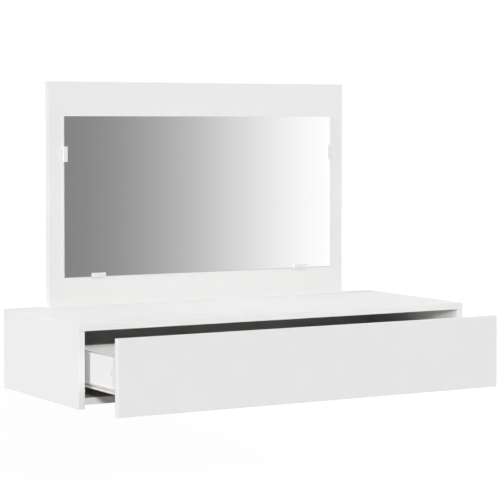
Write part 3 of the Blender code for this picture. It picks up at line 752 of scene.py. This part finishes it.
# Cabinet rails: folded 1.2 mm steel with white enamel, one screwed to each side. The foot carries the
# drawer's roller between two stops and is notched at its front corner, and the upper flange holds the
# drawer down when it tips.
STEEL = 1.2 * MM
TRACK_LIP = 2 * MM
HOLD_REACH = 9 * MM
STOP_HEIGHT = 3 * MM
STOP_CLEAR = 7 * MM
FOLD = 0.5 * MM
PIN_HOLE = 2 * MM
CORNER_NOTCH = 5 * MM
NOTCH_LENGTH = 8 * MM
enamel, shader = new_finish("white_rail_enamel")
tint(enamel, shader, marks(enamel, 25 * MM), (0.775, 0.775, 0.768), (0.800, 0.800, 0.793))
polish(enamel, shader, marks(enamel, 0.7 * MM), 0.28, 0.42)
relief(enamel, shader, marks(enamel, 0.6 * MM), 0.008 * MM)
slide = next(joint for joint in frame["joints"] if joint["name"] == "drawer_slide")
for hand, way in HANDS.items():
    node = f"cabinet_rail_{hand}"
    low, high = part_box(node)
    panel_low, panel_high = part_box(f"{hand}_side_panel")
    inner_face = panel_low.x if way > 0 else panel_high.x
    back = high.x if way > 0 else low.x
    edge = low.x if way > 0 else high.x
    web = back - way * STEEL
    rail = saw(f"{node}_folded", (min(back, web), low.y, low.z), (max(back, web), high.y, high.z))
    rail.data.materials.append(enamel)
    track = low.z + STEEL
    hold = high.z - STEEL
    roller_low, roller_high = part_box(f"rear_roller_{hand}")
    rear_axis = (roller_low.y + roller_high.y) / 2
    front_stop = rear_axis - slide["range_m"][1] - STOP_CLEAR
    rear_stop = rear_axis - slide["range_m"][0] + STOP_CLEAR
    open_up(rail, "FACE")
    score(Z, track)
    score(Z, hold)
    pick_faces(rail, lambda middle, normal: normal.x * way < -0.5 and middle.z < track)
    pull(x=edge - web)
    pick_faces(rail, lambda middle, normal: normal.x * way < -0.5 and middle.z > hold)
    reach = inner_face - way * HOLD_REACH - web
    pull(x=reach)
    score(X, edge + way * STEEL)
    lip_start = way * (edge + way * STEEL)

    def under_lip(middle, normal):
        return normal.z > 0.5 and middle.z < hold and way * middle.x < lip_start

    pick_faces(rail, under_lip)
    pull(z=TRACK_LIP)
    for stop in (front_stop - STEEL, front_stop, rear_stop, rear_stop + STEEL):
        score(Y, stop)

    def under_stop(middle, normal):
        on_track = normal.z > 0.5 and abs(middle.z - track) < TOUCH and way * middle.x > lip_start
        at_front = front_stop - STEEL < middle.y < front_stop
        at_rear = rear_stop < middle.y < rear_stop + STEEL
        return on_track and (at_front or at_rear)

    pick_faces(rail, under_stop)
    pull(z=STOP_HEIGHT)
    close()
    open_up(rail, "EDGE")

    def outer_fold(first, second):
        at_web = abs(first.x - back) < TOUCH and abs(second.x - back) < TOUCH
        at_edge = abs(first.x - edge) < TOUCH and abs(second.x - edge) < TOUCH
        at_foot = abs(first.z - low.z) < TOUCH and abs(second.z - low.z) < TOUCH
        at_head = abs(first.z - high.z) < TOUCH and abs(second.z - high.z) < TOUCH
        return (at_web and (at_foot or at_head)) or (at_edge and at_foot)

    pick_edges(rail, outer_fold)
    bpy.ops.mesh.bevel(offset=FOLD, segments=4, affect="EDGES")
    close()
    drill(rail, (edge, low.y, track), Z, CORNER_NOTCH, NOTCH_LENGTH, enamel)
    for end in ENDS:
        bore(rail, f"{node}_screw_{end}", X, SCREW_HOLE, enamel)
    bore(rail, f"front_roller_{hand}_pin", X, PIN_HOLE, enamel)
    smooth(rail, angle=35)
    seat(rail, "cabinet", node)


# Rail screws: short zinc-plated pan-head screws with a cross recess. Two go through each cabinet rail
# into the side panel, and the same screws hold the drawer rails further on.
low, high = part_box("cabinet_rail_left_screw_front")
rail_screw = make_screw(pan_head, high.x - low.x, zinc)
for hand, way in HANDS.items():
    for end in ENDS:
        fit(rail_screw, "turned", f"cabinet_rail_{hand}_screw_{end}", (way, 0, 0), "cabinet")


# Front rollers: white nylon wheels on steel pins riveted into the cabinet rails, just behind the front.
# The flanges of the drawer rails run on them.
ROLLER_FACE = (
    (2.1, 0.25), (2.4, 0), (3.7, 0), (3.9, 0.5), (6.9, 0.5), (7.1, 0), (8.3, 0), (8.8, 0.25), (9, 0.8),
)
ROLLER_WIDTH = 5.8 * MM
ROLLER_STEPS = 56
PIN_START = ((0, 0), (1.5, 0), (1.9, 0.2))
PIN_HEAD = ((1.9, 0.8), (2.6, 0.8), (2.6, 0.45), (2.2, 0.15), (1.2, 0), (0, 0))
nylon, shader = new_finish("white_nylon")
tint(nylon, shader, marks(nylon, 5 * MM), (0.76, 0.76, 0.745), (0.81, 0.81, 0.795))
polish(nylon, shader, marks(nylon, 0.8 * MM), 0.38, 0.52)
outline = profile(ROLLER_WIDTH, ROLLER_FACE, reversed(ROLLER_FACE))
roller = turn("roller", outline + outline[:1], nylon, ROLLER_STEPS)
smooth(roller, angle=30)


def make_pin(length):
    """A riveted pin with a low domed head at its far end."""
    pin = turn("pin", profile(length, PIN_START, PIN_HEAD), zinc)
    smooth(pin, angle=35)
    return pin


low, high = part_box("front_roller_left_pin")
front_pin = make_pin(high.x - low.x)
for hand, way in HANDS.items():
    node = f"front_roller_{hand}"
    fit(roller, "wheel", node, (way, 0, 0), node)
    fit(front_pin, "riveted", f"{node}_pin", (-way, 0, 0), "cabinet")
bpy.data.objects.remove(front_pin)


# Drawer front: a white board, banded all round, that hides the drawer and runs down past the bottom
# panel as a finger pull. A groove in its back takes the drawer bottom, and two cam bolts are screwed
# into it.
GROOVE_ROOM = 0.2 * MM
low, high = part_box("drawer_front")
groove_room = Vector((GROOVE_ROOM, GROOVE_ROOM, GROOVE_ROOM))
floor_low, floor_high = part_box("drawer_bottom")
board = make_board("drawer_front_board", low, high, melamine, (LEFT, RIGHT, DOWN, UP))
mill(board, floor_low - groove_room, floor_high + groove_room, chipboard)
for hand in HANDS:
    bore(board, f"drawer_{hand}_cam_bolt", Y, THREAD_HOLE)
smooth(board)
seat(board, "drawer", "drawer_front")


# Drawer sides: 12 mm white boards, banded above, below and behind, with a groove for the drawer bottom.
# The cam sits in the outer face near the front, and a 5 mm hole is bored farther back.
SMALL_CAM_HOLE = 6 * MM
SPARE_HOLE = 2.5 * MM
SPARE_HOLE_AT = (-392 * MM, -3 * MM)
SPARE_HOLE_DEPTH = 7.5 * MM
drawer_white, shader = new_finish("drawer_melamine")
tint(drawer_white, shader, marks(drawer_white, 80 * MM), (0.790, 0.790, 0.782), (0.803, 0.803, 0.796))
pearl = marks(drawer_white, 1.1 * MM)
polish(drawer_white, shader, pearl, 0.44, 0.56)
relief(drawer_white, shader, pearl, 0.012 * MM)
for hand, way in HANDS.items():
    low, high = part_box(f"drawer_{hand}_side")
    low.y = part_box("drawer_front")[1].y
    board = make_board(f"drawer_{hand}_board", low, high, drawer_white, (DOWN, UP, REAR), raw=(FRONT,))
    mill(board, floor_low - groove_room, floor_high + groove_room, chipboard)
    bore(board, f"drawer_{hand}_cam", X, SMALL_CAM_HOLE)
    bore(board, f"drawer_{hand}_cam_bolt", Y, BOLT_HOLE)
    bore(board, f"drawer_{hand}_back_screw", X, SCREW_HOLE)
    for end in ENDS:
        bore(board, f"drawer_rail_{hand}_screw_{end}", Z, SCREW_HOLE)
    outer_face = high.x if way > 0 else low.x
    drill(board, (outer_face, *SPARE_HOLE_AT), X, SPARE_HOLE, 2 * SPARE_HOLE_DEPTH, drawer_white)
    smooth(board)
    seat(board, "drawer", f"drawer_{hand}_side")


# Drawer back: a lower 12 mm white board between the drawer sides. It stands on the drawer bottom and is
# held by a screw at each end.
low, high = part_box("drawer_back")
low.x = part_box("drawer_left_side")[1].x
high.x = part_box("drawer_right_side")[0].x
board = make_board("drawer_back_board", low, high, drawer_white, (DOWN, UP), raw=(LEFT, RIGHT))
for hand in HANDS:
    bore(board, f"drawer_{hand}_back_screw", X, SCREW_HOLE)
smooth(board)
seat(board, "drawer", "drawer_back")


# Drawer bottom: one sheet of 3 mm hardboard, lacquered white above and left raw brown below. It slides
# into the grooves of the front and sides from behind, under the drawer back.
SHEET_ARRIS = 0.15 * MM
white_face, shader = new_finish("lacquered_hardboard")
tint(white_face, shader, marks(white_face, 30 * MM), (0.748, 0.745, 0.705), (0.778, 0.775, 0.737))
polish(white_face, shader, marks(white_face, 1 * MM), 0.42, 0.58)
raw_face, shader = new_finish("raw_hardboard")
fibres = marks(raw_face, 1.2 * MM, stretch=(1, 3, 1), detail=5)
tint(raw_face, shader, fibres, (0.17, 0.105, 0.06), (0.29, 0.19, 0.115))
polish(raw_face, shader, fibres, 0.7, 0.9)
relief(raw_face, shader, fibres, 0.08 * MM)
sheet = saw("drawer_bottom_sheet", floor_low, floor_high)
sheet.data.materials.append(white_face)
open_up(sheet, "FACE")
pick_faces(sheet, lambda middle, normal: normal.z < 0.5)
coat(sheet, raw_face)
close()
open_up(sheet, "EDGE")
bpy.ops.mesh.select_all(action="SELECT")
bpy.ops.mesh.bevel(offset=SHEET_ARRIS, segments=2, affect="EDGES")
close()
smooth(sheet)
seat(sheet, "drawer", "drawer_bottom")


# Fittings of the drawer: a small cam and a bolt of the cabinet's kind join each side to the front, with
# the slotted face of the drum on the outside. A zinc-plated screw holds each end of the back.
low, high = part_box("drawer_left_back_screw")
back_screw = make_screw(pan_head, high.x - low.x, zinc)
drum = cast_cam("drawer_left_cam", "drawer_left_cam_bolt", (0, -1, 0), (-1, 0, 0))
for hand, way in HANDS.items():
    node = f"drawer_{hand}_cam"
    fit(drum, "drum", node, (0, -1, 0), "drawer", (way, 0, 0))
    fit(bolt, "turned", f"{node}_bolt", (0, -1, 0), "drawer")
    fit(back_screw, "turned", f"drawer_{hand}_back_screw", (-way, 0, 0), "drawer")
bpy.data.objects.remove(drum)
bpy.data.objects.remove(back_screw)
bpy.data.objects.remove(bolt)


# Drawer rails: rolled steel with the same enamel, screwed up into the drawer sides. The flange reaches
# out over the front rollers, a web curves in below the drawer side, and a tab near the rear end carries
# the rear roller.
TAB_LENGTH = 16 * MM
FLANGE_REACH = 4 * MM
WEB_SETBACK = 0.1 * MM
WEB_ROLL = ((-1.4, -1.1), (-1.4, -1.2), (-1.2, -1.4), (-0.6, -1.3), (0.1, -1.3), (0.6, -1.6), (1.0, -2.6))
FLANGE_ROUND = 1 * MM
HEAD_ROOM = 0.8 * MM
WINDOW_DROP = 0.1 * MM
for hand, way in HANDS.items():
    node = f"drawer_rail_{hand}"
    low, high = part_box(node)
    under = high.z - STEEL
    side_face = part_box(f"drawer_{hand}_side")[0 if way < 0 else 1].x
    inner_edge = (low if way > 0 else high).x
    outer_edge = side_face + way * FLANGE_REACH
    web_outer = side_face - way * WEB_SETBACK
    web_inner = web_outer - way * STEEL
    tab_outer = side_face + way * STEEL
    pin_low, pin_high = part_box(f"rear_roller_{hand}_pin")
    tab_front = (pin_low.y + pin_high.y) / 2 - TAB_LENGTH / 2
    tab_rear = tab_front + TAB_LENGTH
    rail = saw(f"{node}_rolled", (min(inner_edge, outer_edge), low.y, under),
               (max(inner_edge, outer_edge), high.y, high.z))
    rail.data.materials.append(enamel)
    open_up(rail, "FACE")
    for place in (web_inner, web_outer, side_face, tab_outer):
        score(X, place)
    score(Y, tab_front)
    score(Y, tab_rear)

    def over_web(middle, normal):
        return normal.z < -0.5 and way * web_inner < way * middle.x < way * web_outer

    pick_faces(rail, over_web)
    for outward, down in WEB_ROLL:
        pull(x=way * outward * MM, z=down * MM)

    def over_tab(middle, normal):
        across = way * side_face < way * middle.x < way * tab_outer
        return normal.z < -0.5 and across and tab_front < middle.y < tab_rear

    pick_faces(rail, over_tab)
    pull(z=low.z - under)
    close()

    def lower_corner(first, second):
        outside = min(way * first.x, way * second.x) > way * outer_edge - TOUCH
        return outside and max(first.z, second.z) < under + TOUCH

    open_up(rail, "EDGE")
    pick_edges(rail, lower_corner)
    bpy.ops.mesh.bevel(offset=FLANGE_ROUND, segments=4, affect="EDGES")
    close()
    for end in ENDS:
        screw = f"{node}_screw_{end}"
        bore(rail, screw, Z, SCREW_HOLE, enamel)
        head_low, head_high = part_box(screw)
        window_low = head_low - Vector((HEAD_ROOM, HEAD_ROOM, WINDOW_DROP))
        window_high = head_high + Vector((HEAD_ROOM, HEAD_ROOM, 0))
        window_high.z = under
        mill(rail, window_low, window_high, enamel)
        fit(rail_screw, "turned", screw, (0, 0, 1), "drawer")
    bore(rail, f"rear_roller_{hand}_pin", X, PIN_HOLE, enamel)
    smooth(rail, angle=35)
    seat(rail, "drawer", node)
bpy.data.objects.remove(rail_screw)


# Rear rollers: the same nylon wheels, on steel pins riveted into the tabs of the drawer rails. They run
# on the feet of the cabinet rails, behind the front rollers.
low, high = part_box("rear_roller_left_pin")
rear_pin = make_pin(high.x - low.x)
for hand, way in HANDS.items():
    node = f"rear_roller_{hand}"
    fit(roller, "wheel", node, (way, 0, 0), node)
    fit(rear_pin, "riveted", f"{node}_pin", (way, 0, 0), "drawer")
bpy.data.objects.remove(rear_pin)
bpy.data.objects.remove(roller)


# Studio floor: a very wide pale floor below the hung table. It shows as white paper and takes the
# table's soft shadow.
FLOOR_HEIGHT = -670 * MM
FLOOR_SIZE = 400
bpy.ops.object.select_all(action="DESELECT")
bpy.ops.mesh.primitive_plane_add(size=FLOOR_SIZE, location=(0, 0, FLOOR_HEIGHT))
floor = bpy.context.object
floor.name = "studio_floor"
paper, shader = new_finish("floor_paper")
shader.inputs["Base Color"].default_value = (0.30, 0.30, 0.30, 1)
shader.inputs["Roughness"].default_value = 0.9
shader.inputs["Specular IOR Level"].default_value = 0


def seen_directly(tree):
    """1 for what the camera sees, also by way of the mirror, and 0 for light that falls on the table."""
    path = tree.nodes.new("ShaderNodeLightPath")
    both = tree.nodes.new("ShaderNodeMath")
    both.operation = "MAXIMUM"
    every = tree.nodes.new("ShaderNodeMath")
    every.operation = "MAXIMUM"
    tree.links.new(path.outputs["Is Camera Ray"], both.inputs[0])
    tree.links.new(path.outputs["Is Glossy Ray"], both.inputs[1])
    tree.links.new(both.outputs["Value"], every.inputs[0])
    tree.links.new(path.outputs["Is Transmission Ray"], every.inputs[1])
    return every.outputs["Value"]


shader.inputs["Emission Color"].default_value = (0.75, 0.75, 0.75, 1)
paper.node_tree.links.new(seen_directly(paper.node_tree), shader.inputs["Emission Strength"])
floor.data.materials.append(paper)


# Glowing card: stands far to the right in front of the table and glows with a painted grade from grey to
# white, so that the mirror shows a painted reflection: a soft grey that clears to white. Only the mirror sees
# it.
CARD_DISTANCE = 3.0
CARD_START = 0.1
CARD_GREY = 1.0
CARD_END = 2.25
CARD_TOP = 1.45
CARD_DEPTH = 0.487
CARD_STEPS = 10
CARD_FADE = ((0.25, 1), (0.6, 1))
CARD_CURVE = 2.2
SOFT_ENDS = 0.57


def upright_sheet(name, start, end, distance, foot, head):
    """A flat sheet that stands upright in front of the table."""
    bpy.ops.object.select_all(action="DESELECT")
    bpy.ops.mesh.primitive_plane_add(size=1, location=(0, 0, 0))
    sheet = bpy.context.object
    sheet.name = name
    sheet.scale = (end - start, head - foot, 1)
    sheet.rotation_euler = (math.pi / 2, 0, 0)
    sheet.location = ((start + end) / 2, -distance, (foot + head) / 2)
    bpy.ops.object.transform_apply(location=True, rotation=True, scale=True)
    return sheet


def graded(tree, axis, start, end, end_tone, between):
    """A tone that changes along an axis of a sheet: the same at both ends, and given at places between."""
    place = tree.nodes.new("ShaderNodeTexCoord")
    parts = tree.nodes.new("ShaderNodeSeparateXYZ")
    tree.links.new(place.outputs["Object"], parts.inputs["Vector"])
    span = tree.nodes.new("ShaderNodeMapRange")
    span.inputs["From Min"].default_value = start
    span.inputs["From Max"].default_value = end
    tree.links.new(parts.outputs[axis], span.inputs["Value"])
    ramp = tree.nodes.new("ShaderNodeValToRGB")
    stops = ramp.color_ramp.elements
    stops[0].color = (end_tone, end_tone, end_tone, 1)
    stops[1].color = (end_tone, end_tone, end_tone, 1)
    for reached, tone in between:
        stop = stops.new(reached)
        stop.color = (tone, tone, tone, 1)
    tree.links.new(span.outputs["Result"], ramp.inputs["Fac"])
    return ramp.outputs["Color"]


card = upright_sheet("painted_reflection_card", CARD_START, CARD_END, CARD_DISTANCE, FLOOR_HEIGHT, CARD_TOP)
# The card's glow is painted light: its grey grade stands in for the studio that the mirror reflects.
painted_glow, shader = new_finish("painted_reflection_glow")
tree = painted_glow.node_tree
shader.inputs["Base Color"].default_value = (0, 0, 0, 1)
shader.inputs["Specular IOR Level"].default_value = 0
shader.inputs["Emission Strength"].default_value = 1
greys = []
for step in range(CARD_STEPS):
    along = step / CARD_STEPS
    eased = along * along * (3 - 2 * along)
    reached = CARD_GREY + along * (CARD_END - CARD_GREY)
    dark = CARD_DEPTH * (1 - along + SOFT_ENDS * (along - eased))
    greys.append(((reached - CARD_START) / (CARD_END - CARD_START), dark))
depth = tree.nodes.new("ShaderNodeMath")
depth.operation = "MULTIPLY"
tree.links.new(graded(tree, "X", CARD_START, CARD_END, 0, greys), depth.inputs[0])
tree.links.new(graded(tree, "Z", FLOOR_HEIGHT, CARD_TOP, 0, CARD_FADE), depth.inputs[1])
tone = tree.nodes.new("ShaderNodeMath")
tone.operation = "SUBTRACT"
tone.inputs[0].default_value = 1
tree.links.new(depth.outputs["Value"], tone.inputs[1])
even = tree.nodes.new("ShaderNodeMath")
even.operation = "POWER"
even.inputs[1].default_value = CARD_CURVE
tree.links.new(tone.outputs["Value"], even.inputs[0])
tree.links.new(even.outputs["Value"], shader.inputs["Emission Color"])
card.data.materials.append(painted_glow)
card.visible_camera = False
card.visible_diffuse = False
card.visible_shadow = False
card.visible_transmission = False


# Scrim: a graded net that hangs between the front lamp and the mirror panel. It holds back part of that
# light from the foot of the panel, which gets light from the table top as well. The camera and the
# mirror don't see it.
SCRIM_START = -0.81
SCRIM_END = 0.49
SCRIM_DISTANCE = 0.45
SCRIM_FOOT = 0.18
SCRIM_HEAD = 0.78
NET = ((0.07, 0.64), (0.2, 0.80), (0.45, 0.98))
scrim = upright_sheet("lamp_scrim", SCRIM_START, SCRIM_END, SCRIM_DISTANCE, SCRIM_FOOT, SCRIM_HEAD)
net, shader = new_finish("scrim_net")
tree = net.node_tree
pass_on = tree.nodes.new("ShaderNodeBsdfTransparent")
tree.links.new(graded(tree, "Z", SCRIM_FOOT, SCRIM_HEAD, 1, NET), pass_on.inputs["Color"])
tree.links.new(pass_on.outputs["BSDF"], tree.nodes["Material Output"].inputs["Surface"])
tree.nodes.remove(shader)
scrim.data.materials.append(net)
scrim.visible_camera = False
scrim.visible_diffuse = False
scrim.visible_glossy = False
scrim.visible_transmission = False


# Studio light: a low lamp and a high one far to the left, one near the camera, low ones to the right
# and behind, and a weak, broad one high behind on the left, with soft light from all round. What lies
# behind the table shows white.
LAMPS = (
    ("left_lamp", -84, 4, 1.17, 8),
    ("front_lamp", -20, 15, 1.95, 5),
    ("upper_lamp", -85, 60, 0.77, 12),
    ("right_lamp", 84, 8, 0.9, 10),
    ("rear_lamp", 178, 6, 1.2, 10),
    ("high_rear_lamp", -155, 60, 0.34, 35),
)
SKY = 0.36
for name, turn_angle, height_angle, energy, softness in LAMPS:
    lamp = bpy.data.lights.new(name, "SUN")
    lamp.energy = energy
    lamp.angle = math.radians(softness)
    holder = bpy.data.objects.new(name, lamp)
    bpy.context.collection.objects.link(holder)
    around = math.radians(turn_angle)
    above = math.radians(height_angle)
    level = math.cos(above)
    source = Vector((math.sin(around) * level, -math.cos(around) * level, math.sin(above)))
    holder.rotation_euler = source.to_track_quat("Z", "Y").to_euler()
world = bpy.data.worlds.new("studio")
bpy.context.scene.world = world
world.use_nodes = True
tree = world.node_tree
sky = tree.nodes["Background"]
sky.inputs["Color"].default_value = (1, 1, 1, 1)
strength = tree.nodes.new("ShaderNodeMapRange")
strength.inputs["To Min"].default_value = SKY
strength.inputs["To Max"].default_value = 1
tree.links.new(seen_directly(tree), strength.inputs["Value"])
tree.links.new(strength.outputs["Result"], sky.inputs["Strength"])


# Camera: stands left of the table and a little above it, with a long lens. The frame is shifted down,
# so that the uprights stay upright.
CAMERA_PLACE = (-2.2501, -4.1361, 0.5163)
CAMERA_TILT = 88.1
CAMERA_TURN = -30.136
CAMERA_LENS = 140.74
SENSOR_WIDTH = 36
FAR_LIMIT = 600
FRAME_SHIFT = -0.1256
camera = bpy.data.cameras.new("camera")
camera.lens = CAMERA_LENS
camera.sensor_width = SENSOR_WIDTH
camera.shift_y = FRAME_SHIFT
camera.clip_end = FAR_LIMIT
stand = bpy.data.objects.new("camera", camera)
bpy.context.collection.objects.link(stand)
stand.location = CAMERA_PLACE
stand.rotation_euler = (math.radians(CAMERA_TILT), 0, math.radians(CAMERA_TURN))
bpy.context.scene.camera = stand
bpy.context.scene.view_settings.view_transform = "Standard"
